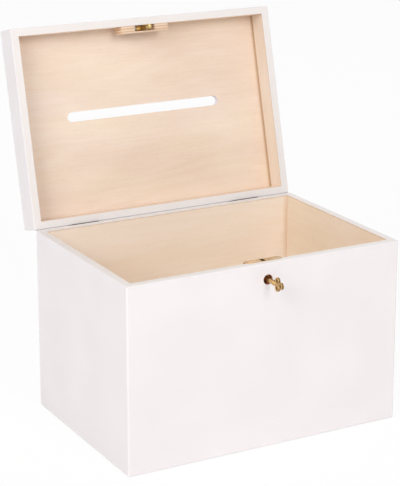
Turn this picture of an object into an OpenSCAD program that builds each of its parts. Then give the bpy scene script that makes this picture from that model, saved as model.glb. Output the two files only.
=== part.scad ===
// Desk letter box: a painted plywood box with a tray lid, a letter slot and a small box lock.
// The lid stands open on its hinges and the key is in the lock.
// The front of the box faces -Y, +X is to the viewer's right, and z = 0 is the surface it rests on.

/* [Box] */
// Outside width of the box
box_w = 300; // [260:5:360]
// Outside depth of the box
box_d = 204; // [180:2:260]
// Height of the box up to its rim
box_h = 188; // [120:2:240]
// Thickness of the walls and of the lid's rails
wall_t = 8; // [8:0.5:10]
// Thickness of the bottom panel
base_t = 6; // [4:0.5:9]
// Rounding of the sanded outer edges
edge_round = 2; // [2:0.1:2.6]
// Rounding of the two rims' outer edges
rim_round = 0.8; // [0.4:0.1:1.2]

/* [Lid] */
// Height of the lid from its rim to its top
lid_h = 30; // [28:1:50]
// Thickness of the lid panel
lid_panel_t = 6; // [4:0.5:8]
// Rounding of the lid's top edges
lid_round = 4; // [2:0.5:5]
// Gap between the two rims when the lid is shut
lid_gap = 0.5; // [0.4:0.1:0.8]
// Angle at which the lid stands open
lid_open = 104; // [92:1:110]

/* [Letter slot] */
// Length of the slot over its round ends
slot_l = 178; // [120:2:200]
// Width of the slot
slot_w = 10; // [6:0.5:16]
// How far the slot lies in front of the lid's middle
slot_forward = 7; // [0:1:30]

/* [Hinges] */
// Length of a hinge along its pin
hinge_l = 30; // [24:1:40]
// Distance of each hinge's middle from the middle of the box
hinge_x = 94.5; // [60:0.5:110]
// Height of each leaf from the pin
leaf_w = 14; // [12:1:18]
// Thickness of the leaf metal
leaf_t = 0.7; // [0.5:0.1:0.7]
// Diameter of the knuckles
knuckle_d = 3; // [2.6:0.1:3.2]
// Diameter of the hinge pin
pin_d = 1.3; // [1:0.1:1.4]
// How far the pin lies behind the back face
pin_out = 0.7; // [0.7:0.1:0.9]
// How far the pin lies below the box's rim
pin_drop = 1.2; // [0.8:0.1:1.4]

/* [Lock] */
// Length of the lock's top plate
selvage_l = 42; // [38:1:50]
// Width of the lock's top plate
selvage_w = 9.5; // [9.5:0.1:11]
// Depth of the key's axis below the rim
key_drop = 16.5; // [16.5:0.1:17]
// Diameter of the keyhole drilled in the wood
keyhole_d = 10; // [9:0.5:12]
// How far the bolt slides
bolt_throw = 5; // [4:0.5:5]

/* [Key] */
// Diameter of the key's barrel
barrel_d = 4.4; // [4:0.1:4.6]
// How far the key stands out of the front
key_out = 27; // [24:1:34]
// Radius of each lobe of the bow
lobe_r = 3.4; // [3:0.1:4.5]
// Thickness of the bow
bow_t = 2.6; // [2:0.1:3.2]

/* [Catch] */
// Length of the catch block along the lid's front rail
block_l = 54; // [46:1:80]
// Depth of the catch block behind the lid's rim
block_h = 17; // [14:0.5:20]
// How far the hook reaches past the lid's rim
hook_drop = 12.4; // [12:0.1:12.6]

/* [Hidden] */
$fn = 48;

slack = 0.3;                      // least gap between pieces that move past each other
run_fit = 0.05;                   // radial clearance of a running fit
eps = 0.02;                       // overlap that keeps cuts and unions clean
through = 1;                      // how far a cut runs past the face it goes through
in_w = box_w - 2*wall_t;
in_d = box_d - 2*wall_t;
rail_h = lid_h - lid_panel_t;

// Small round-headed wood screws
screw_d = 2;
screw_l = 6;
screw_head_d = 3.8;
screw_head_h = 1.2;
screw_slot_w = 0.5;

// Hinge line, and the hinges about it
axis_y = box_d/2 + pin_out;
axis_z = box_h - pin_drop;
mid_knuckle_l = 10.4;             // the middle knuckle, which belongs to the lid's leaf
end_knuckle_l = (hinge_l - mid_knuckle_l)/2 - slack;
leaf_clear = knuckle_d/2 + slack + 0.1;  // distance from the pin at which a leaf clears a knuckle
lug_w = 3;                        // the stop lugs on the box's leaf
lug_reach = 5.2;
lug_fall = 6.5;
screw_from_pin = 9;
screw_apart = 18;

// Lock, placed from the front face and down from the rim
sheet_t = 0.8;                    // metal of the lock's cap and case
selvage_t = 1.2;
lock_y = 5.5;                     // wood left between the front face and the lock
lock_w = 33;
lock_low = 28.5;
case_y = lock_y + selvage_w;      // the outside of the case's back
flange_w = 46;
flange_rows = [6, 24];
lock_screw_x = 19.8;
lock_screw_rows = [9.5, 20.5];
lock_screw_l = 4;
rivet_d = 2;
rivet_x = 13;
rivet_rows = [3.9, 26.4];
hook_y = lock_y + 5.3;            // middle of the hook and of its hole in the top plate
hook_hole = [4.4, 7];
post_d = 2;
post_y = 7.6;

// Bolt, mirrored so that it slides towards -X as the key turns clockwise
bolt_t = 2;
bolt_x = [-14, 5];
bolt_rows = [12.9, 24];
arm_w = 6.8;                      // narrow enough to stop short of the hook when it is thrown
tongue_rows = [6.9, 9.9];
tongue_tip = -2.6;
window_rows = [13.9, 21.7];       // the opening in which the key's bit turns
window_x = [-bolt_throw - barrel_d/2 - 0.4, barrel_d/2 + 0.4];
spring_t = 0.4;
spring_w = 4;
spring_half = 10;
spring_rise = 2.6;

// Key, about its own axis
bit_r = 4.6;
bit_t = 1.8;
bit_y = [8.6, 13];
ward_y = 10.4;                    // a small notch in the bit
ward_size = [0.8, 1];
barrel_y = [-10.5, 13.6];
bore_y = 7;
collar_d = 5.4;
collar_y = -12;
neck_d = 3.2;
lobe_out = 4.1;                   // distance of each lobe from the bow's middle
bow_y = -key_out + lobe_r + lobe_out;
dish_t = 0.5;                     // depth of the dished middle of each lobe
lobe_rim = 1.1;

// Catch, placed in the shut lid from its front face and up from its rim
block_d = 7.5;
recess = [23.2, 6.2, 7.2];
hook_size = [3.2, 5.2];
loop_w = 2.8;
loop_rows = [6.8, 11];
catch_plate_size = [22, 5.6, 1.2];
catch_screw_x = 8;
catch_screw_d = 1.6;
catch_screw_head_d = 3.2;
catch_screw_head_h = 1;

white_paint = [0.96, 0.94, 0.93];
birch = [0.92, 0.82, 0.71];
brass = [0.78, 0.62, 0.36];
aged_brass = [0.62, 0.49, 0.30];
bronze = [0.36, 0.31, 0.27];
steel = [0.62, 0.62, 0.64];

// Places what is modelled with y = 0 on the front face and z = 0 at the box's foot
module from_front() translate([0, -box_d/2, 0]) children();

// Places what is modelled with y = 0 on the front face and z = 0 at the rim
module in_lock() translate([0, -box_d/2, box_h]) children();

// Turns what is modelled about the hinge line, in the shut lid, to the open lid's place
module lid_swung() translate([0, axis_y, axis_z]) rotate([-lid_open, 0, 0]) children();

// The same, with y = 0 on the lid's front face and z = 0 at the lid's rim
module in_lid() lid_swung() translate([0, -pin_out - box_d, pin_drop + lid_gap]) children();

module on_both_sides(x) for (side = [-1, 1]) translate([side*x, 0, 0]) children();

// A box from its low corner and its size
module block(low, size) translate(low) cube(size);

// A straight bore or pin along +Y, between two values of y
module along_y(d, from, to) translate([0, from, 0]) rotate([-90, 0, 0]) cylinder(d = d, h = to - from);

// A straight bore or pin along X, centred
module along_x(d, length) rotate([0, 90, 0]) cylinder(d = d, h = length, center = true);

// A flat strip with full-round ends, along X
module strip(length, width) {
    square([length - width, width], center = true);
    on_both_sides((length - width)/2) circle(d = width);
}

// A rectangle on y = 0, centred in x, with rounded lower and upper corners
module soft_face(w, h, r_low, r_high) {
    translate([-w/2, r_low]) square([w, h - r_low - r_high]);
    translate([-w/2 + r_low, 0]) square([w - 2*r_low, r_low + eps]);
    translate([-w/2 + r_high, h - r_high - eps]) square([w - 2*r_high, r_high + eps]);
    on_both_sides(w/2 - r_low) translate([0, r_low]) circle(r_low);
    on_both_sides(w/2 - r_high) translate([0, h - r_high]) circle(r_high);
}

// A block with sanded edges, from y = 0 to y = box_d
module eased_block(h, r_low, r_high) intersection() {
    linear_extrude(h) soft_face(box_w, box_d, edge_round, edge_round);
    translate([0, box_d, 0]) rotate([90, 0, 0]) linear_extrude(box_d) soft_face(box_w, h, r_low, r_high);
    translate([-box_w/2, box_d/2, 0]) rotate([90, 0, 90]) linear_extrude(box_w)
        soft_face(box_d, h, r_low, r_high);
}

// A board of the box, or of the lid, cut from the rounded block by a box
module box_board(low, size) intersection() {
    eased_block(box_h, edge_round, rim_round);
    block(low, size);
}

module lid_board(low, size) intersection() {
    eased_block(lid_h, rim_round, lid_round);
    block(low, size);
}

// A round-headed, slotted screw whose head sits on z = 0
module screw(d, length, head_d, head_h) difference() {
    union() {
        translate([0, 0, -length]) cylinder(d = d, h = length + eps);
        intersection() {
            translate([0, 0, head_h - head_d*0.6]) sphere(head_d*0.6);
            cylinder(d = head_d, h = head_h);
        }
    }
    block([-head_d, -screw_slot_w/2, head_h/2], [2*head_d, screw_slot_w, head_h]);
}

// Walls of the box
module front_panel() color(white_paint) difference() {
    from_front() box_board([-box_w/2, 0, 0], [box_w, wall_t, box_h]);
    in_lock() {
        block([-lock_w/2, lock_y, -lock_low], [lock_w, wall_t, lock_low + through]);
        intersection() {
            translate([0, 0, -selvage_t]) linear_extrude(selvage_t + through) selvage_outline();
            block([-box_w/2, 0, -selvage_t], [box_w, wall_t + through, box_h]);
        }
        translate([0, 0, -key_drop]) along_y(keyhole_d, -through, lock_y + eps);
        lock_screw_places() along_y(screw_d, wall_t - lock_screw_l, wall_t + through);
    }
}

// The back panel, with a shallow groove for each hinge's knuckles
module back_panel() color(white_paint) difference() {
    from_front() box_board([-box_w/2, box_d - wall_t, 0], [box_w, wall_t, box_h]);
    hinge_screw_places() translate([0, box_d/2, axis_z - screw_from_pin]) along_y(screw_d, -screw_l, through);
    on_both_sides(hinge_x) translate([0, axis_y, axis_z]) along_x(knuckle_d + 2*slack, hinge_l + 2*slack);
}

module left_panel() color(white_paint)
    from_front() box_board([-box_w/2, wall_t, 0], [wall_t, in_d, box_h]);

module right_panel() color(white_paint)
    from_front() box_board([box_w/2 - wall_t, wall_t, 0], [wall_t, in_d, box_h]);

module bottom_panel() color(birch) block([-in_w/2, -in_d/2, 0], [in_w, in_d, base_t]);

// Lid
module lid_panel() color(white_paint) in_lid() difference() {
    lid_board([-box_w/2, 0, rail_h], [box_w, box_d, lid_panel_t]);
    translate([0, box_d/2 - slot_forward, rail_h - through]) linear_extrude(lid_panel_t + 2*through)
        strip(slot_l, slot_w);
}

module lid_front_rail() color(white_paint) in_lid()
    lid_board([-box_w/2, 0, 0], [box_w, wall_t, rail_h]);

module lid_back_rail() color(white_paint) difference() {
    in_lid() lid_board([-box_w/2, box_d - wall_t, 0], [box_w, wall_t, rail_h]);
    lid_swung() hinge_screw_places() translate([0, -pin_out, screw_from_pin])
        along_y(screw_d, -screw_l, through);
}

module lid_left_rail() color(white_paint) in_lid()
    lid_board([-box_w/2, wall_t, 0], [wall_t, in_d, rail_h]);

module lid_right_rail() color(white_paint) in_lid()
    lid_board([box_w/2 - wall_t, wall_t, 0], [wall_t, in_d, rail_h]);

// Catch, in the lid
module catch_screw_places() on_both_sides(catch_screw_x) translate([0, hook_y, recess[2]]) children();

module catch_block() color(birch) in_lid() difference() {
    block([-block_l/2, wall_t, 0], [block_l, block_d, block_h]);
    block([-recess[0]/2, wall_t - through, -through], [recess[0], recess[1] + through, recess[2] + through]);
    catch_screw_places() translate([0, 0, -through]) cylinder(d = catch_screw_d, h = screw_l + through);
}

module catch_plate() color(brass) in_lid() difference() {
    translate([0, hook_y, recess[2] - catch_plate_size[2]]) linear_extrude(catch_plate_size[2])
        strip(catch_plate_size[0], catch_plate_size[1]);
    catch_screw_places() cylinder(d = catch_screw_d, h = 4*through, center = true);
}

// The hook, with the loop that the bolt's tongue slides through
module catch_hook() color(brass) in_lid() difference() {
    block([-hook_size[0]/2, hook_y - hook_size[1]/2, -hook_drop],
          [hook_size[0], hook_size[1], hook_drop + recess[2] - catch_plate_size[2]]);
    block([-hook_size[0], hook_y - loop_w/2, -loop_rows[1]],
          [2*hook_size[0], loop_w, loop_rows[1] - loop_rows[0]]);
}

module catch_screws() color(steel) in_lid()
    catch_screw_places() translate([0, 0, -catch_plate_size[2]]) rotate([180, 0, 0])
        screw(catch_screw_d, screw_l + catch_plate_size[2], catch_screw_head_d, catch_screw_head_h);

// Lock
module selvage_outline() translate([0, lock_y + selvage_w/2]) strip(selvage_l, selvage_w);

module lock_screw_places()
    for (row = lock_screw_rows) on_both_sides(lock_screw_x) translate([0, 0, -row]) children();

module rivet_places() for (row = rivet_rows) on_both_sides(rivet_x) translate([0, 0, -row]) children();

module lock_selvage() color(brass) in_lock() difference() {
    translate([0, 0, -selvage_t]) linear_extrude(selvage_t) selvage_outline();
    translate([0, hook_y, 0]) cube([hook_hole[0], hook_hole[1], 4*through], center = true);
}

// The pressed case: back, sides and floor, with a flange against the wall on either side
module lock_case() color(brass) in_lock() difference() {
    union() {
        block([-lock_w/2, lock_y + sheet_t, -lock_low], [lock_w, selvage_w - sheet_t, lock_low - selvage_t]);
        block([-flange_w/2, wall_t, -flange_rows[1]], [flange_w, sheet_t, flange_rows[1] - flange_rows[0]]);
    }
    block([-lock_w/2 + sheet_t, lock_y, -lock_low + sheet_t],
          [lock_w - 2*sheet_t, selvage_w - sheet_t, lock_low]);
    rivet_places() along_y(rivet_d, 0, case_y + through);
    translate([0, 0, -key_drop]) along_y(post_d, 0, case_y + through);
    lock_screw_places() along_y(screw_d, 0, case_y);
}

// The cap that closes the case towards the wood, with the lock's own keyhole
module lock_cap() color(aged_brass) in_lock() difference() {
    block([-lock_w/2, lock_y, -lock_low], [lock_w, sheet_t, lock_low - selvage_t]);
    rivet_places() along_y(rivet_d, 0, case_y);
    translate([0, 0, -key_drop]) {
        along_y(barrel_d + 2*slack, 0, case_y);
        block([-bit_t/2 - slack, 0, -bit_r - slack], [bit_t + 2*slack, case_y, bit_r + slack]);
    }
}

module lock_rivets() color(aged_brass) in_lock() rivet_places() along_y(rivet_d, lock_y, case_y);

module lock_screws() color(steel) in_lock() lock_screw_places()
    translate([0, wall_t + sheet_t, 0]) rotate([-90, 0, 0])
        screw(screw_d, lock_screw_l + sheet_t, screw_head_d, screw_head_h);

module key_post() color(steel) in_lock() translate([0, 0, -key_drop]) along_y(post_d, post_y, case_y);

// The bolt: a plate with a window for the key, and an arm whose tongue slides through the hook's loop
module lock_bolt() color(aged_brass) in_lock() mirror([1, 0, 0]) translate([0, hook_y - bolt_t/2, 0])
    difference() {
        union() {
            bolt_part([bolt_x[0], bolt_x[1]], bolt_rows);
            bolt_part([bolt_x[0], bolt_x[0] + arm_w], [tongue_rows[0], bolt_rows[0] + eps]);
            bolt_part([bolt_x[0], tongue_tip], tongue_rows);
        }
        bolt_part(window_x, window_rows, through);
    }

// A rectangle of the bolt between two values of x and two depths below the rim
module bolt_part(x, rows, past = 0)
    block([x[0], -past, -rows[1]], [x[1] - x[0], bolt_t + 2*past, rows[1] - rows[0]]);

// A bowed leaf spring on the case's floor, just under the bolt
module lock_spring() color(steel) in_lock() {
    bow_radius = (pow(spring_half, 2) + pow(spring_rise, 2))/(2*spring_rise);
    floor_z = -lock_low + sheet_t;
    intersection() {
        translate([0, hook_y, floor_z + spring_rise - bow_radius]) rotate([90, 0, 0]) difference() {
            cylinder(r = bow_radius, h = spring_w, center = true, $fn = 96);
            cylinder(r = bow_radius - spring_t, h = 2*spring_w, center = true, $fn = 96);
        }
        block([-spring_half, 0, floor_z], [2*spring_half, case_y, spring_rise + through]);
    }
}

// Key: a hollow barrel with its bit, a turned collar and neck, and a cast three-lobed bow
module key() color(aged_brass) in_lock() translate([0, 0, -key_drop]) difference() {
    union() {
        along_y(barrel_d, barrel_y[0], barrel_y[1]);
        along_y(collar_d, collar_y, barrel_y[0]);
        along_y(neck_d, bow_y, collar_y + eps);
        block([-bit_t/2, bit_y[0], -bit_r], [bit_t, bit_y[1] - bit_y[0], bit_r]);
        translate([0, bow_y, 0]) along_x(2*(lobe_out - lobe_rim), bow_t - 2*dish_t);
        for (turn = [0, 120, 240]) translate([0, bow_y, 0]) rotate([turn, 0, 0])
            translate([0, -lobe_out, 0]) bow_lobe();
    }
    along_y(post_d + 2*run_fit, bore_y, barrel_y[1] + through);
    block([-bit_t, ward_y, -bit_r - through], [2*bit_t, ward_size[0], ward_size[1] + through]);
}

// A disc that is dished on both sides, inside a raised rim
module bow_lobe() difference() {
    along_x(2*lobe_r, bow_t);
    on_both_sides(bow_t/2) along_x(2*(lobe_r - lobe_rim), 2*dish_t);
}

// Hinges
module hinge_screw_places() on_both_sides(hinge_x) leaf_screw_places() children();

module leaf_screw_places() on_both_sides(screw_apart/2) children();

module box_leaf() color(bronze) difference() {
    union() {
        block([-hinge_l/2, -pin_out, -leaf_w], [hinge_l, leaf_t, leaf_w - leaf_clear]);
        for (side = [-1, 1]) translate([side*(hinge_l - end_knuckle_l)/2, 0, 0]) {
            block([-end_knuckle_l/2, -pin_out, -leaf_clear - eps], [end_knuckle_l, leaf_t, leaf_clear + eps]);
            along_x(knuckle_d, end_knuckle_l);
            translate([side*(end_knuckle_l - lug_w)/2, 0, 0]) stop_lug();
        }
    }
    along_x(pin_d, 2*hinge_l);
    leaf_screw_places() translate([0, 0, -screw_from_pin]) along_y(screw_d, -pin_out - through, leaf_t);
}

// A gusset on the box's leaf that the lid's leaf comes down on when the lid is fully open
module stop_lug() {
    fall = tan(lid_open - 90);
    rotate([90, 0, 90]) linear_extrude(lug_w, center = true)
        polygon([[leaf_t - pin_out - eps, -leaf_clear - slack],
                 [leaf_clear, -leaf_clear*fall - slack],
                 [lug_reach, -lug_reach*fall - slack],
                 [leaf_t - pin_out - eps, -lug_fall]]);
}

module lid_leaf() color(bronze) difference() {
    union() {
        block([-hinge_l/2, -pin_out, leaf_clear], [hinge_l, leaf_t, leaf_w - leaf_clear]);
        block([-mid_knuckle_l/2, -pin_out, 0], [mid_knuckle_l, leaf_t, leaf_clear + eps]);
        along_x(knuckle_d, mid_knuckle_l);
    }
    along_x(pin_d + 2*run_fit, 2*hinge_l);
    leaf_screw_places() translate([0, 0, screw_from_pin]) along_y(screw_d, -pin_out - through, leaf_t);
}

module on_hinge_line(x) translate([x, axis_y, axis_z]) children();

module hinge_left_box_leaf() on_hinge_line(-hinge_x) box_leaf();
module hinge_left_lid_leaf() lid_swung() translate([-hinge_x, 0, 0]) lid_leaf();
module hinge_left_pin() color(bronze) on_hinge_line(-hinge_x) along_x(pin_d, hinge_l);
module hinge_right_box_leaf() on_hinge_line(hinge_x) box_leaf();
module hinge_right_lid_leaf() lid_swung() translate([hinge_x, 0, 0]) lid_leaf();
module hinge_right_pin() color(bronze) on_hinge_line(hinge_x) along_x(pin_d, hinge_l);

module hinge_screw() translate([0, leaf_t - pin_out, 0]) rotate([-90, 0, 0])
    screw(screw_d, screw_l + leaf_t, screw_head_d, screw_head_h);

module hinge_box_screws() color(bronze)
    translate([0, axis_y, axis_z - screw_from_pin]) hinge_screw_places() hinge_screw();

module hinge_lid_screws() color(bronze)
    lid_swung() translate([0, 0, screw_from_pin]) hinge_screw_places() hinge_screw();

front_panel();
back_panel();
left_panel();
right_panel();
bottom_panel();
lid_panel();
lid_front_rail();
lid_back_rail();
lid_left_rail();
lid_right_rail();
catch_block();
catch_plate();
catch_hook();
catch_screws();
lock_case();
lock_cap();
lock_selvage();
lock_bolt();
lock_spring();
key_post();
lock_rivets();
lock_screws();
key();
hinge_left_box_leaf();
hinge_left_lid_leaf();
hinge_left_pin();
hinge_right_box_leaf();
hinge_right_lid_leaf();
hinge_right_pin();
hinge_box_screws();
hinge_lid_screws();
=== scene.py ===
import math

import bmesh
import bpy
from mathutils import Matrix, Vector


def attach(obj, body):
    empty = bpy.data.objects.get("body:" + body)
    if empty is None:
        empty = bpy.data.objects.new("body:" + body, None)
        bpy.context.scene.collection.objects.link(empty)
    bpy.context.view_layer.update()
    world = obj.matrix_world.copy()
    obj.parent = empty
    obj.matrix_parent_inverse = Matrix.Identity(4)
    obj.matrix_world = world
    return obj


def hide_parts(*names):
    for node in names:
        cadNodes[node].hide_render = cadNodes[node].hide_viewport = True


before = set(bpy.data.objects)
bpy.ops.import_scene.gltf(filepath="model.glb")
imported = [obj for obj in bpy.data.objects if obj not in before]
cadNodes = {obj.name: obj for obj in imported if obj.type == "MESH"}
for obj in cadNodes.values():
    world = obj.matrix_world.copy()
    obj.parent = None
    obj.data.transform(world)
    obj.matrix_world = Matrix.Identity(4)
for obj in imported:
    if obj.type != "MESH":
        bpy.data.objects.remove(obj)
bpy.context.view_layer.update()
print("frame loaded:", len(cadNodes), "nodes")

mm = 0.001                       # metres in a millimetre
perMetre = 1000                  # millimetres in a metre, for patterns that read Object coordinates

# Where the source puts things, in millimetres
hingeLine = {"y": 102.7, "z": 186.8, "lidAngle": 104.0}
boards = {
    "insideX": 142.0,            # from the middle to the inner faces of the side boards
    "insideY": 94.0,             # the same for the front and the back
    "boxInside": 400.0,          # past the box's foot, so that its walls are bare all the way down
    "lidInside": 24.0}           # depth behind the rim of the lid panel's inner face
boxFront = -102.0                # y of the front face
boxRim = 188.0                   # z of the box's rim
lidFront = -204.7                # the shut lid's front face, from the hinge line
lidRim = 1.7                     # the shut lid's rim, from the hinge line
keyhole = {"drop": 16.5, "radius": 5.0}      # its middle stands this far below the rim


# Camera, lamps and floor

photoCamera = {
    "place": (-810.7, -1441.9, 689.7),
    "turnDegrees": 28.81,        # to the right of straight at the front
    "tiltDegrees": 15.212,       # below level
    "focalPixels": 1733.9,
    "imageHeight": 486,
    "opticalRow": 185.2,         # pixel row of the lens's axis
    "sensor": 36.0,
    "nearClip": 10}

cameraData = bpy.data.cameras.new("photoCamera")
cameraData.sensor_width = photoCamera["sensor"]
cameraData.lens = photoCamera["focalPixels"]*photoCamera["sensor"]/photoCamera["imageHeight"]
cameraData.shift_y = photoCamera["opticalRow"]/photoCamera["imageHeight"] - 0.5
cameraData.clip_start = photoCamera["nearClip"]*mm
cameraObject = bpy.data.objects.new("photoCamera", cameraData)
bpy.context.scene.collection.objects.link(cameraObject)
cameraObject.location = [value*mm for value in photoCamera["place"]]
cameraObject.rotation_euler = (math.radians(90 - photoCamera["tiltDegrees"]), 0,
                               -math.radians(photoCamera["turnDegrees"]))
bpy.context.scene.camera = cameraObject
bpy.context.scene.view_settings.view_transform = "Standard"


def toLinear(hexColour):
    channels = [int(hexColour[start:start + 2], 16)/255 for start in (1, 3, 5)]
    return tuple(c/12.92 if c <= 0.04045 else ((c + 0.055)/1.055)**2.4 for c in channels) + (1.0,)


# Adds one node. An input is a number, a colour, another node's socket, or a node, whose first live output
# is used
def addNode(tree, kind, inputs=None, **settings):
    made = tree.nodes.new("ShaderNode" + kind)
    for (setting, value) in settings.items():
        setattr(made, setting, value)
    for (place, value) in (inputs or {}).items():
        if isinstance(value, bpy.types.Node):
            value = next(out for out in value.outputs if out.enabled)
        if isinstance(value, bpy.types.NodeSocket):
            tree.links.new(value, made.inputs[place])
        else:
            made.inputs[place].default_value = value
    return made


def newMaterial(name):
    material = bpy.data.materials.new(name)
    material.use_nodes = True
    material.node_tree.nodes.clear()
    return material, material.node_tree


studio = {
    "softboxes": {
        "softboxFront": {"place": (120, -2000, 1480), "size": 700, "power": 13.0},
        "softboxLeft": {"place": (-1840, -1060, 1480), "size": 1200, "power": 22.5},
        "softboxBack": {"place": (960, 1660, 1760), "size": 1200, "power": 6.0}},
    "aim": (0, 0, 150),
    "white": "#FFFFFF",          # of the lamps, the sky and the floor
    "skyStrength": 0.53,
    "floorSize": 14000,
    "floorDrop": 0.2,            # mm below the box's foot, so that the two faces aren't in one plane
    "floorWhite": 0.92}          # share of the seen floor that glows plain white
white = toLinear(studio["white"])

for (name, softbox) in studio["softboxes"].items():
    lampData = bpy.data.lights.new(name, "AREA")
    lampData.shape = "SQUARE"
    lampData.size = softbox["size"]*mm
    lampData.energy = softbox["power"]
    lampData.color = white[:3]
    lampObject = bpy.data.objects.new(name, lampData)
    bpy.context.scene.collection.objects.link(lampObject)
    lampObject.location = [value*mm for value in softbox["place"]]
    aim = Vector(studio["aim"]) - Vector(softbox["place"])
    lampObject.rotation_euler = aim.to_track_quat("-Z", "Y").to_euler()

# The sky lights the box softly, and is seen as plain white
world = bpy.data.worlds.new("whiteStudio")
bpy.context.scene.world = world
world.use_nodes = True
world.node_tree.nodes.clear()
tree = world.node_tree
rays = addNode(tree, "LightPath").outputs
seen = addNode(tree, "Math", {0: rays["Is Camera Ray"], 1: rays["Is Glossy Ray"]}, operation="MAXIMUM")
seen = addNode(tree, "Math", {0: seen, 1: rays["Is Transmission Ray"]}, operation="MAXIMUM")
skyLight = addNode(tree, "Background", {"Color": white, "Strength": studio["skyStrength"]})
skySeen = addNode(tree, "Background", {"Color": white, "Strength": 1.0})
sky = addNode(tree, "MixShader", {0: seen, 1: skyLight, 2: skySeen})
addNode(tree, "OutputWorld", {"Surface": sky})

# A white floor. Most of what is seen of it glows plain white, so that only a soft shadow stays
floorMaterial, tree = newMaterial("whiteStudioFloor")
floorCoat = addNode(tree, "BsdfDiffuse", {"Color": white})
rays = addNode(tree, "LightPath").outputs
seen = addNode(tree, "Math", {0: rays["Is Camera Ray"], 1: rays["Is Glossy Ray"]}, operation="MAXIMUM")
glowShare = addNode(tree, "Math", {0: seen, 1: studio["floorWhite"]}, operation="MULTIPLY")
glow = addNode(tree, "Emission", {"Color": white, "Strength": 1.0})
floorMix = addNode(tree, "MixShader", {0: glowShare, 1: floorCoat, 2: glow})
addNode(tree, "OutputMaterial", {"Surface": floorMix})
bpy.ops.mesh.primitive_plane_add(size=studio["floorSize"]*mm, location=(0, 0, -studio["floorDrop"]*mm))
floor = bpy.context.object
floor.name = "studioFloor"
floor.data.materials.append(floorMaterial)
print("camera, lamps and floor ready")


# Modelling helpers

def clearSelection():
    if bpy.context.object and bpy.context.object.mode != "OBJECT":
        bpy.ops.object.mode_set(mode="OBJECT")
    bpy.ops.object.select_all(action="DESELECT")


def takeUp(piece):
    clearSelection()
    piece.select_set(True)
    bpy.context.view_layer.objects.active = piece


# Names a new primitive and puts its place, turn and size into its mesh
def started(name):
    piece = bpy.context.object
    piece.name = name
    piece.data.name = name
    bpy.ops.object.transform_apply(location=True, rotation=True, scale=True)
    return piece


def startBlock(name, low, high):
    clearSelection()
    bpy.ops.mesh.primitive_cube_add(size=1, location=[(a + b)/2*mm for (a, b) in zip(low, high)],
                                    scale=[(b - a)*mm for (a, b) in zip(low, high)])
    return started(name)


# A rod from low to high along one axis, through a point
def startRod(name, radius, low, high, axis, through, sides=40):
    clearSelection()
    middle = list(through)
    middle["XYZ".index(axis)] = (low + high)/2
    turns = {"X": (0, math.pi/2, 0), "Y": (math.pi/2, 0, 0), "Z": (0, 0, 0)}
    bpy.ops.mesh.primitive_cylinder_add(vertices=sides, radius=radius*mm, depth=(high - low)*mm,
                                        location=[value*mm for value in middle], rotation=turns[axis])
    return started(name)


# In edit mode, selects the vertices, edges or faces that pass a test. It gets the middle, in millimetres, and
# the way from there to the far end of an edge, or the normal of a vertex or face
def pick(kind, test):
    bpy.ops.mesh.select_mode(type={"verts": "VERT", "edges": "EDGE", "faces": "FACE"}[kind])
    bpy.ops.mesh.select_all(action="DESELECT")
    editMesh = bmesh.from_edit_mesh(bpy.context.edit_object.data)
    for part in getattr(editMesh, kind):
        corners = [part.co] if kind == "verts" else [vert.co for vert in part.verts]
        middle = sum(corners, Vector())/len(corners)/mm
        reach = max(corners, key=lambda corner: (corner/mm - middle).length)/mm - middle
        if test(middle, reach if kind == "edges" else part.normal):
            part.select_set(True)
    editMesh.select_flush_mode()
    bmesh.update_edit_mesh(bpy.context.edit_object.data)


# A turned piece: a disc is drawn out along +Z through rings of (distance, radius)
def startTurned(name, rings, sides=40):
    clearSelection()
    (distance, radius) = rings[0]
    bpy.ops.mesh.primitive_circle_add(vertices=sides, radius=radius*mm, fill_type="NGON",
                                      location=(0, 0, distance*mm))
    piece = started(name)
    bpy.ops.object.mode_set(mode="EDIT")
    bpy.ops.mesh.select_all(action="SELECT")
    for (nextDistance, nextRadius) in rings[1:]:
        rise = (0, 0, (nextDistance - distance)*mm)
        bpy.ops.mesh.extrude_region_move(TRANSFORM_OT_translate={"value": rise})
        ratio = nextRadius/radius
        bpy.ops.transform.resize(value=(ratio, ratio, 1), center_override=(0, 0, nextDistance*mm))
        (distance, radius) = (nextDistance, nextRadius)
    bpy.ops.mesh.select_all(action="SELECT")
    bpy.ops.mesh.normals_make_consistent(inside=False)
    bpy.ops.object.mode_set(mode="OBJECT")
    return piece


# Puts a piece modelled about the origin to a place and turn
def placeAt(piece, place, turn=(0, 0, 0)):
    takeUp(piece)
    piece.rotation_euler = [math.radians(angle) for angle in turn]
    piece.location = [value*mm for value in place]
    bpy.ops.object.transform_apply(location=True, rotation=True, scale=True)
    return piece


# Swings a piece modelled about the hinge line, on the shut lid, to the open lid's place
def swingOpen(piece):
    return placeAt(piece, (0, hingeLine["y"], hingeLine["z"]), (-hingeLine["lidAngle"], 0, 0))


# Cuts with another piece, or fuses the two, and uses the other one up
def combine(piece, other, operation):
    takeUp(piece)
    modifier = piece.modifiers.new("combine", "BOOLEAN")
    modifier.object = other
    modifier.operation = operation
    modifier.solver = "EXACT"
    bpy.ops.object.modifier_apply(modifier=modifier.name)
    bpy.data.objects.remove(other)
    return piece


def joinAll(pieces):
    takeUp(pieces[0])
    for piece in pieces[1:]:
        piece.select_set(True)
    bpy.ops.object.join()
    return pieces[0]


def copyOf(piece):
    copied = piece.copy()
    copied.data = piece.data.copy()
    bpy.context.scene.collection.objects.link(copied)
    return copied


# Breaks the sharp edges and smooths the shading between close faces
def soften(piece, width, segments=2, angleDegrees=32):
    takeUp(piece)
    modifier = piece.modifiers.new("brokenEdges", "BEVEL")
    modifier.width = width*mm
    modifier.segments = segments
    modifier.limit_method = "ANGLE"
    modifier.angle_limit = math.radians(angleDegrees)
    modifier.use_clamp_overlap = True
    bpy.ops.object.modifier_apply(modifier=modifier.name)
    bpy.ops.object.shade_smooth_by_angle(angle=math.radians(angleDegrees))
    return piece


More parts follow.
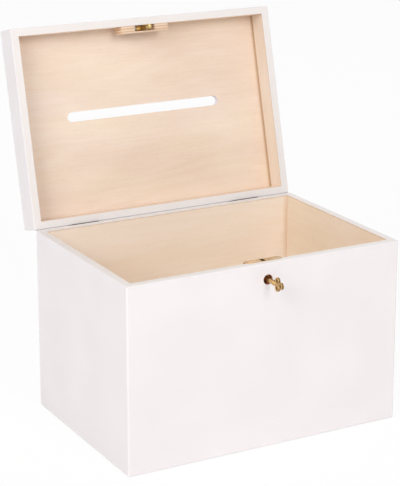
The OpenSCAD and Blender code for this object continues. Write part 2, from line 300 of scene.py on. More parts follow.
# A flat strip with full-round ends, along X: a disc whose halves are drawn apart
def startStrip(name, length, width, low, high, middleY):
    piece = startRod(name, width/2, low, high, "Z", (0, middleY, 0), 64)
    bpy.ops.object.mode_set(mode="EDIT")
    for side in (-1, 1):
        pick("verts", lambda middle, unused: middle.x*side > 0.01)
        bpy.ops.transform.translate(value=(side*(length - width)/2*mm, 0, 0))
    bpy.ops.object.mode_set(mode="OBJECT")
    return piece


def dress(piece, material, body, slot, *nodes):
    piece.data.materials.clear()
    piece.data.materials.append(material)
    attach(piece, body)
    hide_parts(*nodes)


def dressNode(name, material):
    node = cadNodes[name]
    if not node.material_slots:
        node.data.materials.append(material)
    for slot in node.material_slots:
        slot.material = material


# Materials

birch = {
    # light and dark of the peeled face, which differ a little from board to board; the box's boards are made
    # lighter than the lid's as painted light, for more light inside the box
    "tonesWithPaintedLight": {"boxBack": ("#FFF3E7", "#F9E6D3"), "boxSide": ("#FCEEDD", "#F4DFC8"),
              "boxFloor": ("#FDF0E4", "#F5E2CF"), "lidPanel": ("#F6E4D6", "#E9D0BA"),
              "lidSide": ("#F5E9DE", "#E9D7C6")},
    # what follows the grain: millimetres along it and across it
    "cloud": (132, 55),          # soft light and dark areas
    "swell": (260, 34),          # the slow waves that the growth lines follow
    "fibre": (28, 0.7),          # a bundle of fibres; single ones are finer than the render shows
    "pore": (5, 0.45),
    "sapwoodStreak": (130, 34),
    "ringSpacing": 5.5,          # mm between growth lines on the peeled face
    "ringWaves": 1.3,            # makes up for the narrow range of the noise
    "ringShare": 0.08,           # how far lines, fibres, streaks and pores change the colour
    "fibreShare": 0.2,
    "sapwoodShare": 0.35,
    "poreShare": 0.35,
    "sapwood": "#F6E6C9",        # yellower
    "pores": "#C79E78",
    "roughness": 0.68}
paint = {
    "colour": "#F2ECED",
    "shade": "#EFE9EA",
    "rim": "#EEE8E5",            # thinner and warmer over the end grain of the rims
    "hingeGapShade": "#ABA6A6",      # painted shade: a grey band on the back rims' outer edges, for the shadow in the hinge gap
    "hingeGapShadeEdge": (101.0, 101.4),  # y where the painted shade starts and is full, in mm
    "hingeGapShadeDepth": 0.5,           # mm behind the rim that it reaches
    "hingeGapShadeShare": 0.8,
    "roughness": 0.46,
    "patch": 70,                 # mm across the barely darker areas
    "stipple": 0.9,              # mm, the skin a foam roller leaves
    "wrap": 0.5}                 # mm that the paint runs over the rim's inner edge
# the thin brown line where the lid's rails meet its panel, by mm from the panel: partly a glue line, partly
# painted shade in the inner corner
seamGlueAndShade = {"colour": "#BE986C", "from": 2.8, "full": 1.6, "share": 0.85}
# a thin darker band on the bare wood just below the paint's edge, by mm from the paint
belowPaintBand = {"colour": "#D2AC86", "full": 0.5, "to": 1.1, "share": 0.5}
# painted shade along the inner corners, darker towards the corner, by mm from the middle
boxCornerShade = {"colour": "#D9B189", "from": 136.0, "full": 141.0, "share": 0.45}
lidCornerShade = {"colour": "#C6A279", "from": 139.4, "full": 141.2, "share": 0.55}
plies = {"thickness": 1.4, "endGrain": "#DCB696", "faceGrain": "#F3DDC6", "glue": "#A67C58",
         "glueShare": 0.4, "speckleShare": 0.35, "drilled": "#C98E68"}


# Millimetres in the shut frame of the box or the lid: x, y from its middle, and depth behind its rim
def ownCoordinates(tree, part):
    place = addNode(tree, "TexCoord").outputs["Object"]
    if part == "box":
        return addNode(tree, "Mapping", {"Vector": place, "Location": (0, 0, boxRim),
                                         "Scale": (perMetre, perMetre, -perMetre)})
    turn = math.radians(hingeLine["lidAngle"])
    (y, z) = (hingeLine["y"], hingeLine["z"])
    back = (0, -(y*math.cos(turn) - z*math.sin(turn)) + y, -(y*math.sin(turn) + z*math.cos(turn)) - lidRim)
    return addNode(tree, "Mapping", {"Vector": place, "Location": back, "Rotation": (turn, 0, 0),
                                     "Scale": (perMetre, perMetre, perMetre)})


# Peeled birch veneer: soft clouds, growth lines like contours, fine fibres and short pores. Gives a colour
# and a height
def birchFace(tree, coordinates, grain, board):
    def stretched(along, across):
        scale = (1/along, 1/across, 1/across) if grain == "x" else (1/across, 1/along, 1/across)
        return addNode(tree, "Mapping", {"Vector": coordinates, "Scale": scale})

    clouds = addNode(tree, "TexNoise", {"Vector": stretched(*birch["cloud"]), "Scale": 1.0, "Detail": 2.0})
    swells = addNode(tree, "TexNoise", {"Vector": stretched(*birch["swell"]), "Scale": 1.0, "Detail": 1.5,
                                        "Roughness": 0.45, "Distortion": 0.4})
    ringPhase = birch["swell"][1]/birch["ringSpacing"]*birch["ringWaves"]*2*math.pi
    rings = addNode(tree, "Math", {0: swells, 1: ringPhase}, operation="MULTIPLY")
    rings = addNode(tree, "Math", {0: rings}, operation="SINE")
    fibres = addNode(tree, "TexNoise", {"Vector": stretched(*birch["fibre"]), "Scale": 1.0, "Detail": 3.0,
                                        "Roughness": 0.6})
    pores = addNode(tree, "TexNoise", {"Vector": stretched(*birch["pore"]), "Scale": 1.0, "Detail": 1.0})
    pores = addNode(tree, "MapRange", {"Value": pores, "From Min": 0.66, "From Max": 0.78})
    sapwood = addNode(tree, "TexNoise", {"Vector": stretched(*birch["sapwoodStreak"]), "Scale": 1.0,
                                         "Detail": 2.0, "W": 3.0}, noise_dimensions="4D")
    sapwood = addNode(tree, "MapRange", {"Value": sapwood, "From Min": 0.42, "From Max": 0.7, "To Min": 0.0,
                                         "To Max": birch["sapwoodShare"]})

    tone = addNode(tree, "MapRange", {"Value": clouds, "From Min": 0.3, "From Max": 0.7, "To Min": 0.1,
                                      "To Max": 0.8})
    tone = addNode(tree, "Math", {0: rings, 1: birch["ringShare"], 2: tone}, operation="MULTIPLY_ADD")
    fibreTone = addNode(tree, "MapRange", {"Value": fibres, "From Min": 0.3, "From Max": 0.7,
                                           "To Min": -birch["fibreShare"], "To Max": birch["fibreShare"]})
    tone = addNode(tree, "Math", {0: tone, 1: fibreTone}, operation="ADD", use_clamp=True)
    # the box's tones carry painted light for the inside of the box
    (light, dark) = birch["tonesWithPaintedLight"][board]
    colour = addNode(tree, "Mix", {0: tone, 6: toLinear(light), 7: toLinear(dark)}, data_type="RGBA")
    colour = addNode(tree, "Mix", {0: sapwood, 6: colour, 7: toLinear(birch["sapwood"])}, data_type="RGBA")
    poreShare = addNode(tree, "Math", {0: pores, 1: birch["poreShare"]}, operation="MULTIPLY")
    colour = addNode(tree, "Mix", {0: poreShare, 6: colour, 7: toLinear(birch["pores"])}, data_type="RGBA")
    height = addNode(tree, "Math", {0: pores, 1: -0.8, 2: fibres}, operation="MULTIPLY_ADD")
    return colour, height


# The edge of plywood across one coordinate: face-grain and end-grain plies in turn, with glue lines between
def plyEdge(tree, across, fine):
    phase = addNode(tree, "Math", {0: across, 1: 1/(2*plies["thickness"])}, operation="MULTIPLY")
    turn = addNode(tree, "Math", {0: phase, 1: 0.5}, operation="PINGPONG")
    ply = addNode(tree, "MapRange", {"Value": turn, "From Min": 0.22, "From Max": 0.28},
                  interpolation_type="SMOOTHSTEP")
    colour = addNode(tree, "Mix", {0: ply, 6: toLinear(plies["faceGrain"]), 7: toLinear(plies["endGrain"])},
                     data_type="RGBA")
    fromGlue = addNode(tree, "Math", {0: turn, 1: 0.25}, operation="SUBTRACT")
    fromGlue = addNode(tree, "Math", {0: fromGlue}, operation="ABSOLUTE")
    glue = addNode(tree, "MapRange", {"Value": fromGlue, "From Min": 0.02, "From Max": 0.05,
                                      "To Min": plies["glueShare"], "To Max": 0.0})
    colour = addNode(tree, "Mix", {0: glue, 6: colour, 7: toLinear(plies["glue"])}, data_type="RGBA")
    speckle = addNode(tree, "MapRange", {"Value": fine, "From Min": 0.35, "From Max": 0.75, "To Min": 0.0,
                                         "To Max": plies["speckleShare"]})
    return addNode(tree, "Mix", {0: speckle, 6: colour, 7: toLinear(birch["pores"])}, data_type="RGBA")


# Birch plywood with rolled white satin acrylic on the outside and the rims: an even, faintly stippled soft
# sheen, with the veneer's fibres just showing through. The inside is bare, sanded and matt
def paintedPlywood(name, part, board, grain, corner=None, drilled=False):
    material, tree = newMaterial(name)
    coordinates = ownCoordinates(tree, part)
    (x, y, depth) = addNode(tree, "SeparateXYZ", {0: coordinates}).outputs
    fromMiddleX = addNode(tree, "Math", {0: x}, operation="ABSOLUTE")
    fromMiddleY = addNode(tree, "Math", {0: y}, operation="ABSOLUTE")
    inside = boards[part + "Inside"]
    colour, woodHeight = birchFace(tree, coordinates, grain, board)

    # bare wood lies inside the walls, from a little below the rim down to the panel's inner face
    ragged = addNode(tree, "TexNoise", {"Vector": coordinates, "Scale": 0.35, "Detail": 2.0})
    wrap = addNode(tree, "MapRange", {"Value": ragged, "From Min": 0.3, "From Max": 0.7,
                                      "To Min": 0.3*paint["wrap"], "To Max": 1.7*paint["wrap"]})
    pastPaint = addNode(tree, "Math", {0: depth, 1: wrap}, operation="SUBTRACT")
    inX = addNode(tree, "Math", {0: fromMiddleX, 1: boards["insideX"] + 0.06}, operation="LESS_THAN")
    inY = addNode(tree, "Math", {0: fromMiddleY, 1: boards["insideY"] + 0.06}, operation="LESS_THAN")
    beforeOutside = addNode(tree, "Math", {0: depth, 1: inside + 0.1}, operation="LESS_THAN")
    pastEdge = addNode(tree, "MapRange", {"Value": pastPaint, "From Min": -0.15, "From Max": 0.15})
    bare = inX
    for share in (inY, pastEdge, beforeOutside):
        bare = addNode(tree, "Math", {0: bare, 1: share}, operation="MULTIPLY")

    # partly a glue line, partly painted shade where the rails meet the panel
    byPanel = addNode(tree, "MapRange", {"Value": depth, "From Min": inside - seamGlueAndShade["from"],
                                         "From Max": inside - seamGlueAndShade["full"], "To Min": 0.0,
                                         "To Max": seamGlueAndShade["share"]})
    beforePanel = addNode(tree, "Math", {0: depth, 1: inside - 0.02}, operation="LESS_THAN")
    seamGlueAndShadeShare = addNode(tree, "Math", {0: byPanel, 1: beforePanel}, operation="MULTIPLY")
    colour = addNode(tree, "Mix", {0: seamGlueAndShadeShare, 6: colour, 7: toLinear(seamGlueAndShade["colour"])}, data_type="RGBA")
    # a thin darker band just below the paint's edge
    belowPaintShare = addNode(tree, "MapRange", {"Value": pastPaint, "From Min": belowPaintBand["full"],
                                        "From Max": belowPaintBand["to"], "To Min": belowPaintBand["share"], "To Max": 0.0})
    colour = addNode(tree, "Mix", {0: belowPaintShare, 6: colour, 7: toLinear(belowPaintBand["colour"])}, data_type="RGBA")
    # painted shade darkening the bare wood towards the inner corners
    if corner:
        cornerShadeShare = addNode(tree, "MapRange", {"Value": fromMiddleX, "From Min": corner["from"],
                                            "From Max": corner["full"], "To Min": 0.0,
                                            "To Max": corner["share"]})
        colour = addNode(tree, "Mix", {0: cornerShadeShare, 6: colour, 7: toLinear(corner["colour"])}, data_type="RGBA")

    stipple = addNode(tree, "TexNoise", {"Vector": coordinates, "Scale": 1/paint["stipple"], "Detail": 2.0})
    patches = addNode(tree, "TexNoise", {"Vector": coordinates, "Scale": 1/paint["patch"], "Detail": 1.0})
    patches = addNode(tree, "MapRange", {"Value": patches, "From Min": 0.35, "From Max": 0.65})
    coat = addNode(tree, "Mix", {0: patches, 6: toLinear(paint["colour"]), 7: toLinear(paint["shade"])},
                   data_type="RGBA")
    onRim = addNode(tree, "Math", {0: depth, 1: 0.05}, operation="LESS_THAN")
    coat = addNode(tree, "Mix", {0: onRim, 6: coat, 7: toLinear(paint["rim"])}, data_type="RGBA")
    # painted shade of the hinge gap: a grey band on the back rims' outer edges
    (gapShadeFrom, gapShadeFull) = paint["hingeGapShadeEdge"]
    grey = addNode(tree, "MapRange", {"Value": y, "From Min": gapShadeFrom, "From Max": gapShadeFull, "To Min": 0.0,
                                      "To Max": paint["hingeGapShadeShare"]})
    byRim = addNode(tree, "Math", {0: depth, 1: paint["hingeGapShadeDepth"]}, operation="LESS_THAN")
    grey = addNode(tree, "Math", {0: grey, 1: byRim}, operation="MULTIPLY")
    coat = addNode(tree, "Mix", {0: grey, 6: coat, 7: toLinear(paint["hingeGapShade"])}, data_type="RGBA")
    if drilled:
        # the raw wall of the keyhole: its plies, darker and redder
        squareX = addNode(tree, "Math", {0: x, 1: x}, operation="MULTIPLY")
        down = addNode(tree, "Math", {0: depth, 1: keyhole["drop"]}, operation="SUBTRACT")
        squareDown = addNode(tree, "Math", {0: down, 1: down}, operation="MULTIPLY")
        square = addNode(tree, "Math", {0: squareX, 1: squareDown}, operation="ADD")
        inHole = addNode(tree, "Math", {0: square, 1: (keyhole["radius"] + 0.02)**2}, operation="LESS_THAN")
        rawWall = addNode(tree, "Mix", {0: 1.0, 6: plyEdge(tree, y, stipple), 7: toLinear(plies["drilled"])},
                          data_type="RGBA", blend_type="MULTIPLY")
        coat = addNode(tree, "Mix", {0: inHole, 6: coat, 7: rawWall}, data_type="RGBA")

    colour = addNode(tree, "Mix", {0: bare, 6: coat, 7: colour}, data_type="RGBA")
    coatRough = addNode(tree, "MapRange", {"Value": stipple, "From Min": 0.3, "From Max": 0.7,
                                           "To Min": paint["roughness"] - 0.04,
                                           "To Max": paint["roughness"] + 0.06})
    roughness = addNode(tree, "Mix", {0: bare, 2: coatRough, 3: birch["roughness"]})
    coatHeight = addNode(tree, "Math", {0: woodHeight, 1: 0.35, 2: stipple}, operation="MULTIPLY_ADD")
    height = addNode(tree, "Mix", {0: bare, 2: coatHeight, 3: woodHeight})
    bump = addNode(tree, "Bump", {"Strength": 0.12, "Distance": 0.06*mm, "Height": height})
    shader = addNode(tree, "BsdfPrincipled", {"Base Color": colour, "Roughness": roughness, "Normal": bump,
                                              "IOR": 1.48, "Specular IOR Level": 0.4})
    addNode(tree, "OutputMaterial", {"Surface": shader})
    return material


# Birch plywood, sanded and left bare: pale and matt, for the bottom panel
def bareBirch(name):
    material, tree = newMaterial(name)
    colour, height = birchFace(tree, ownCoordinates(tree, "box"), "x", "boxFloor")
    bump = addNode(tree, "Bump", {"Strength": 0.15, "Distance": 0.06*mm, "Height": height})
    shader = addNode(tree, "BsdfPrincipled", {"Base Color": colour, "Roughness": birch["roughness"],
                                              "Normal": bump, "Specular IOR Level": 0.35})
    addNode(tree, "OutputMaterial", {"Surface": shader})
    return material


# Birch plywood, sawn and seen on its edges: striped and dry, for the catch block, whose plies lie along
# the rail
def sawnPlywood(name):
    material, tree = newMaterial(name)
    coordinates = ownCoordinates(tree, "lid")
    y = addNode(tree, "SeparateXYZ", {0: coordinates}).outputs[1]
    alongRail = addNode(tree, "Mapping", {"Vector": coordinates, "Scale": (0.25, 3, 1.2)})
    sawMarks = addNode(tree, "TexNoise", {"Vector": alongRail, "Scale": 1.0, "Detail": 2.0})
    bump = addNode(tree, "Bump", {"Strength": 0.25, "Distance": 0.1*mm, "Height": sawMarks})
    shader = addNode(tree, "BsdfPrincipled", {"Base Color": plyEdge(tree, y, sawMarks), "Roughness": 0.72,
                                              "Normal": bump, "Specular IOR Level": 0.35})
    addNode(tree, "OutputMaterial", {"Surface": shader})
    return material


# A metal whose colour runs between a bright and a tarnished tone. Its fine lines run along the axis for which
# lines is smallest. Where worn is given, handling has kept the faces furthest from the plane x = 0 bright
def drawnMetal(name, bright, tarnish, roughness, lines=(0.15, 1, 1), lineSpacing=0.35, patchSize=6.0,
               tarnishShare=0.5, worn=None):
    material, tree = newMaterial(name)
    place = addNode(tree, "TexCoord").outputs["Object"]
    coordinates = addNode(tree, "Mapping", {"Vector": place, "Scale": (perMetre, perMetre, perMetre)})
    patches = addNode(tree, "TexNoise", {"Vector": coordinates, "Scale": 1/patchSize, "Detail": 4.0,
                                         "Roughness": 0.6})
    alongLines = addNode(tree, "Mapping", {"Vector": coordinates, "Scale": lines})
    streaks = addNode(tree, "TexNoise", {"Vector": alongLines, "Scale": 1/lineSpacing, "Detail": 2.0})
    share = addNode(tree, "MapRange", {"Value": patches, "From Min": 0.35, "From Max": 0.68, "To Min": 0.0,
                                       "To Max": tarnishShare})
    pointiness = addNode(tree, "NewGeometry").outputs["Pointiness"]
    recess = addNode(tree, "MapRange", {"Value": pointiness, "From Min": 0.5, "From Max": 0.42, "To Min": 0.0,
                                        "To Max": 0.8})
    share = addNode(tree, "Math", {0: share, 1: recess}, operation="MAXIMUM")
    if worn:
        fromPlane = addNode(tree, "SeparateXYZ", {0: coordinates}).outputs[0]
        fromPlane = addNode(tree, "Math", {0: fromPlane}, operation="ABSOLUTE")
        unworn = addNode(tree, "MapRange", {"Value": fromPlane, "From Min": worn["dullAt"],
                                            "From Max": worn["brightAt"], "To Min": worn["share"],
                                            "To Max": 0.0})
        share = addNode(tree, "Math", {0: share, 1: unworn}, operation="MAXIMUM")
    colour = addNode(tree, "Mix", {0: share, 6: toLinear(bright), 7: toLinear(tarnish)}, data_type="RGBA")
    rough = addNode(tree, "MapRange", {"Value": streaks, "From Min": 0.3, "From Max": 0.7,
                                       "To Min": roughness - 0.05, "To Max": roughness + 0.1})
    rough = addNode(tree, "Math", {0: share, 1: 0.2, 2: rough}, operation="MULTIPLY_ADD", use_clamp=True)
    bump = addNode(tree, "Bump", {"Strength": 0.12, "Distance": 0.04*mm, "Height": streaks})
    shader = addNode(tree, "BsdfPrincipled", {"Base Color": colour, "Metallic": 1.0, "Roughness": rough,
                                              "Normal": bump})
    addNode(tree, "OutputMaterial", {"Surface": shader})
    return material


boxBackBoard = paintedPlywood("satin paint on birch plywood, box back", "box", "boxBack", "x",
                              corner=boxCornerShade)
boxFrontBoard = paintedPlywood("satin paint on birch plywood, box front", "box", "boxFloor", "x",
                               drilled=True)
boxSideBoard = paintedPlywood("satin paint on birch plywood, box sides", "box", "boxSide", "y")
lidLongBoard = paintedPlywood("satin paint on birch plywood, lid rails", "lid", "lidPanel", "x",
                              corner=lidCornerShade)
lidSideBoard = paintedPlywood("satin paint on birch plywood, lid side rails", "lid", "lidSide", "y")
bottomBirch = bareBirch("bare sanded birch plywood")
catchPly = sawnPlywood("sawn birch plywood edges")
# rolled sheet brass, left to dull: warm, with soft long lines
sheetBrass = drawnMetal("rolled sheet brass", "#CDB08A", "#84694A", 0.36)
# the same brass, darker and browner as painted shade, for the plate down in the catch's recess and the case
# inside the lock
recessShadeBrass = drawnMetal("sheet brass darkened as painted shade", "#A98650", "#5C4322", 0.38)
# cast and tumbled brass: a brown patina in the hollows, and bright where hands have rubbed the key's bow
castBrass = drawnMetal("cast brass, brown in the hollows", "#E2BB82", "#59401F", 0.3, lines=(1, 1, 1),
                       lineSpacing=0.5, patchSize=3.0, tarnishShare=0.35,
                       worn={"dullAt": 0.85, "brightAt": 1.1, "share": 0.75})
# milled brass of the hook, brighter
hookBrass = drawnMetal("milled brass", "#E6CF96", "#A08345", 0.25)
# steel with a dark bronze plating, which gives a dull brown gleam
bronzedSteel = drawnMetal("bronzed steel", "#5E5148", "#2E2723", 0.42, patchSize=4.0)
# bright zinc plating, faintly grey
zincSteel = drawnMetal("zinc-plated steel", "#B9BABD", "#7F8084", 0.34, lines=(1, 1, 1))
print("materials ready")

nodeMaterials = {
    "back_panel": boxBackBoard, "front_panel": boxFrontBoard, "left_panel": boxSideBoard,
    "right_panel": boxSideBoard, "bottom_panel": bottomBirch, "lid_panel": lidLongBoard,
    "lid_front_rail": lidLongBoard, "lid_back_rail": lidLongBoard, "lid_left_rail": lidSideBoard,
    "lid_right_rail": lidSideBoard, "lock_cap": castBrass, "lock_bolt": castBrass, "lock_spring": zincSteel,
    "key_post": zincSteel}
for (name, material) in nodeMaterials.items():
    dressNode(name, material)
print("boards and inner lock pieces dressed")


# Screws: one is modelled for each set and then copied

screwShape = {
    "headRadius": 1.9, "headHeight": 1.2,
    "headEdge": 0.12,                         # the upright edge under the dome
    "undersideShare": 0.96,                   # of the head's radius, at the wood
    "crownRadius": 0.06,                      # the small flat on top, so that the dome doesn't end in a point
    "shankRadius": 1.0, "pointRadius": 0.25, "pointLength": 1.2,
    "slotWidth": 0.5, "slotFloor": 0.45,      # the floor as a share of the head's height
    "edge": 0.04,
    "firstTurn": 25, "nextTurn": 67}          # degrees, so that no two slots stand alike


# A round-headed, slotted screw, its head on z = 0 and its slot along X
def roundScrew(name, length, scale=1.0):
    headRadius = screwShape["headRadius"]*scale
    headHeight = screwShape["headHeight"]*scale
    shankRadius = screwShape["shankRadius"]*scale
    headEdge = screwShape["headEdge"]
    rings = [(-length, screwShape["pointRadius"]), (-length + screwShape["pointLength"], shankRadius),
             (0, shankRadius), (0, headRadius*screwShape["undersideShare"]), (headEdge, headRadius)]
    for step in range(1, 7):
        lift = math.radians(15*step)
        height = headEdge + (headHeight - headEdge)*math.sin(lift)
        rings.append((height, max(headRadius*math.cos(lift), screwShape["crownRadius"])))
    screw = startTurned(name, rings, 28)
    halfSlot = screwShape["slotWidth"]/2*scale
    slot = startBlock("slot", (-3, -halfSlot, headHeight*screwShape["slotFloor"]),
                      (3, halfSlot, headHeight*2))
    combine(screw, slot, "DIFFERENCE")
    return soften(screw, screwShape["edge"], 1, 40)


# Copies a screw to each place, each with its slot at its own angle, and joins the set
def screwSet(name, first, places, turn):
    copies = []
    for (index, place) in enumerate(places):
        one = copyOf(first)
        placeAt(one, (0, 0, 0), (0, 0, screwShape["firstTurn"] + screwShape["nextTurn"]*index))
        copies.append(placeAt(one, place, turn))
    bpy.data.objects.remove(first)
    joined = joinAll(copies)
    joined.name = name
    return joined


# Hinges: two butt hinges on the outside of the back, whose lugs hold the open lid

hinge = {
    "middles": {"left": -94.5, "right": 94.5},
    "length": 30,
    "leafHeight": 14, "leafThickness": 0.7, "leafCorner": 2.0,
    "leafClear": 1.9,            # mm from the pin's axis to where a leaf's full width starts
    "brokenEdge": 0.08,
    "pinOut": 0.7,               # mm from the pin's axis to the back
    "pinRadius": 0.65,
    "pinDome": [(0, 0.3), (0.12, 0.55)],      # distance from the pin's end, and radius there
    "domeLength": 0.3,
    "pinClear": 0.05,            # mm between the pin and the lid's knuckle
    "knuckleRadius": 1.5, "endKnuckle": 9.5, "middleKnuckle": 10.4, "sides": 36,
    "screwDrop": 9, "screwApart": 18, "screwLength": 6.7}
stopLug = {
    "width": 3,
    # the corners of a unit block, in y and z from the pin's axis, and where each one is drawn to
    "corners": {(0, -1): (-0.1, -6.5), (0, 0): (-0.1, -2.2), (1, 0): (1.9, -0.774), (1, -1): (5.2, -1.597)}}


# One leaf about the pin, in the shut position: the box's leaf hangs below the pin, the lid's stands above it
def hingeLeaf(name, middle, onBox):
    half = hinge["length"]/2
    (inner, outer) = (-hinge["pinOut"], -hinge["pinOut"] + hinge["leafThickness"])
    way = -1 if onBox else 1
    freeEdge = way*hinge["leafHeight"]
    nearEdge = way*hinge["leafClear"]
    (low, high) = sorted((freeEdge, nearEdge))
    leaf = startBlock(name, (middle - half, inner, low), (middle + half, outer, high))
    bpy.ops.object.mode_set(mode="EDIT")
    pick("edges", lambda spot, reach: abs(reach.y) > 0.1 and abs(spot.z - freeEdge) < 0.01)
    bpy.ops.mesh.bevel(offset=hinge["leafCorner"]*mm, segments=6)
    bpy.ops.object.mode_set(mode="OBJECT")
    if onBox:
        spans = [(-half, -half + hinge["endKnuckle"]), (half - hinge["endKnuckle"], half)]
    else:
        spans = [(-hinge["middleKnuckle"]/2, hinge["middleKnuckle"]/2)]
    (low, high) = sorted((0, nearEdge))
    for (start, end) in spans:
        tongue = startBlock("tongue", (middle + start, inner, low), (middle + end, outer, high))
        combine(leaf, tongue, "UNION")
        knuckle = startRod("knuckle", hinge["knuckleRadius"], middle + start, middle + end, "X", (0, 0, 0),
                           hinge["sides"])
        combine(leaf, knuckle, "UNION")
    boreRadius = hinge["pinRadius"] if onBox else hinge["pinRadius"] + hinge["pinClear"]
    bore = startRod("bore", boreRadius, middle - half - 1, middle + half + 1, "X", (0, 0, 0), hinge["sides"])
    return combine(leaf, bore, "DIFFERENCE")


# The gusset that the open lid's leaf comes down on: a unit block whose corners are drawn out
def addStopLug(leaf, x):
    lug = startBlock("lug", (x - stopLug["width"]/2, 0, -1), (x + stopLug["width"]/2, 1, 0))
    bpy.ops.object.mode_set(mode="EDIT")
    for ((y, z), (toY, toZ)) in stopLug["corners"].items():
        pick("verts", lambda spot, unused: abs(spot.y - y) < 0.01 and abs(spot.z - z) < 0.01)
        bpy.ops.transform.translate(value=(0, (toY - y)*mm, (toZ - z)*mm))
    bpy.ops.object.mode_set(mode="OBJECT")
    combine(leaf, lug, "UNION")


def hingePin(name):
    half = hinge["length"]/2
    dome = hinge["pinDome"] + [(hinge["domeLength"], hinge["pinRadius"])]
    rings = [(-half + along, radius) for (along, radius) in dome]
    rings += [(half - along, radius) for (along, radius) in reversed(dome)]
    return startTurned(name, rings, 24)


for (side, middle) in hinge["middles"].items():
    boxLeaf = hingeLeaf(f"hinge_{side}_leaf_on_box", middle, True)
    for end in (-1, 1):
        addStopLug(boxLeaf, middle + end*(hinge["length"] - stopLug["width"])/2)
    placeAt(boxLeaf, (0, hingeLine["y"], hingeLine["z"]))
    soften(boxLeaf, hinge["brokenEdge"])
    dress(boxLeaf, bronzedSteel, "box", "bronzed_steel", f"hinge_{side}_box_leaf")
    lidLeaf = hingeLeaf(f"hinge_{side}_leaf_on_lid", middle, False)
    swingOpen(lidLeaf)
    soften(lidLeaf, hinge["brokenEdge"])
    dress(lidLeaf, bronzedSteel, "lid", "bronzed_steel", f"hinge_{side}_lid_leaf")
    pin = hingePin(f"hinge_{side}_domed_pin")
    placeAt(pin, (middle, hingeLine["y"], hingeLine["z"]), (0, 90, 0))
    bpy.ops.object.shade_smooth_by_angle(angle=math.radians(40))
    dress(pin, bronzedSteel, "box", "bronzed_steel", f"hinge_{side}_pin")

screwPlaces = [middle + side*hinge["screwApart"]/2 for middle in hinge["middles"].values()
               for side in (-1, 1)]
boxScrewZ = hingeLine["z"] - hinge["screwDrop"]
hingeBoxScrews = screwSet("hinge_screws_on_box", roundScrew("hinge_screw", hinge["screwLength"]),
                          [(x, hingeLine["y"], boxScrewZ) for x in screwPlaces], (-90, 0, 0))
dress(hingeBoxScrews, bronzedSteel, "box", "bronzed_steel", "hinge_box_screws")
hingeLidScrews = screwSet("hinge_screws_on_lid", roundScrew("hinge_screw", hinge["screwLength"]),
                          [(x, 0, hinge["screwDrop"]) for x in screwPlaces], (-90, 0, 0))
swingOpen(hingeLidScrews)
dress(hingeLidScrews, bronzedSteel, "lid", "bronzed_steel", "hinge_lid_screws")
print("hinges done")


# Lock: top plate, pressed case, screws and rivets

lock = {
    "plateLength": 42, "plateWidth": 9.5, "plateThickness": 1.2, "plateEdge": 0.18,
    "plateY": boxFront + 10.25,
    "hole": (4.4, 7),            # the hook's hole, along X and Y
    "hookY": boxFront + 10.8,
    "caseEdge": 0.3,
    "screwX": 19.8, "screwRows": (9.5, 20.5), "screwLength": 4.8,
    "flangeY": boxFront + 8.8,
    "rivetX": 13, "rivetRows": (3.9, 26.4),
    # shank and low dome, as distance behind the box's front face and radius
    "rivetRings": [(5.5, 1.0), (15.0, 1.0), (15.0, 1.35), (15.2, 1.3), (15.38, 0.95), (15.45, 0.4)]}

plate = startStrip("lock_top_plate", lock["plateLength"], lock["plateWidth"], boxRim - lock["plateThickness"],
                   boxRim, lock["plateY"])
(holeX, holeY) = lock["hole"]
hole = startBlock("hole", (-holeX/2, lock["hookY"] - holeY/2, boxRim - 4),
                  (holeX/2, lock["hookY"] + holeY/2, boxRim + 4))
combine(plate, hole, "DIFFERENCE")
soften(plate, lock["plateEdge"])
dress(plate, sheetBrass, "box", "brass", "lock_selvage")


# A copy of a CAD node with its loose triangles merged and its pressed edges rounded
def pressedCopy(nodeName, name, width):
    piece = copyOf(cadNodes[nodeName])
    piece.parent = None
    piece.name = name
    for mark in list(piece.keys()):              # what the frame wrote on the node
        del piece[mark]
    takeUp(piece)
    bpy.ops.object.mode_set(mode="EDIT")
    bpy.ops.mesh.select_all(action="SELECT")
    bpy.ops.mesh.remove_doubles(threshold=0.002*mm)
    bpy.ops.mesh.dissolve_limited(angle_limit=math.radians(1))
    bpy.ops.object.mode_set(mode="OBJECT")
    return soften(piece, width, 3)


case = pressedCopy("lock_case", "lock_pressed_case", lock["caseEdge"])
dress(case, recessShadeBrass, "box", "brass", "lock_case")

lockScrews = screwSet("lock_flange_screws", roundScrew("lock_screw", lock["screwLength"]),
                      [(side*lock["screwX"], lock["flangeY"], boxRim - row) for row in lock["screwRows"]
                       for side in (-1, 1)], (-90, 0, 0))
dress(lockScrews, zincSteel, "box", "zinc_steel", "lock_screws")

rivet = startTurned("rivet", lock["rivetRings"], 28)
rivets = [placeAt(copyOf(rivet), (side*lock["rivetX"], boxFront, boxRim - row), (-90, 0, 0))
          for row in lock["rivetRows"] for side in (-1, 1)]
bpy.data.objects.remove(rivet)
rivets = joinAll(rivets)
rivets.name = "lock_domed_rivets"
takeUp(rivets)
bpy.ops.object.shade_smooth_by_angle(angle=math.radians(40))
dress(rivets, castBrass, "box", "aged_brass", "lock_rivets")
print("lock done")


# Catch on the lid: block, recessed plate, hook and screws

catch = {
    "y": lidFront + 10.8,        # middle of the plate and the hook
    "blockY": lidFront + 8,      # the inner face of the lid's front rail
    "blockLength": 54, "blockDepth": 7.5, "blockHeight": 17, "blockEdge": 0.3,
    "recessLength": 23.2, "recessDepth": 6.2,
    "plateLength": 22, "plateWidth": 5.6, "plateLow": 6.0, "plateHigh": 7.2, "plateEdge": 0.15,
    "holeRadius": 0.84, "holeCut": 9,        # mm above the rim that the cut reaches, past the plate
    "pilotRadius": 0.8, "pilotTop": 13.2,
    "screwX": 8, "screwLength": 7.2, "screwScale": 0.84,
    "hookWidth": 3.2, "hookDepth": 5.2, "hookDrop": 12.4, "hookNose": 1.6, "hookEdge": 0.28,
    "loopWidth": 2.8, "loop": (-11, -6.8)}   # the loop's z, from the lid's rim

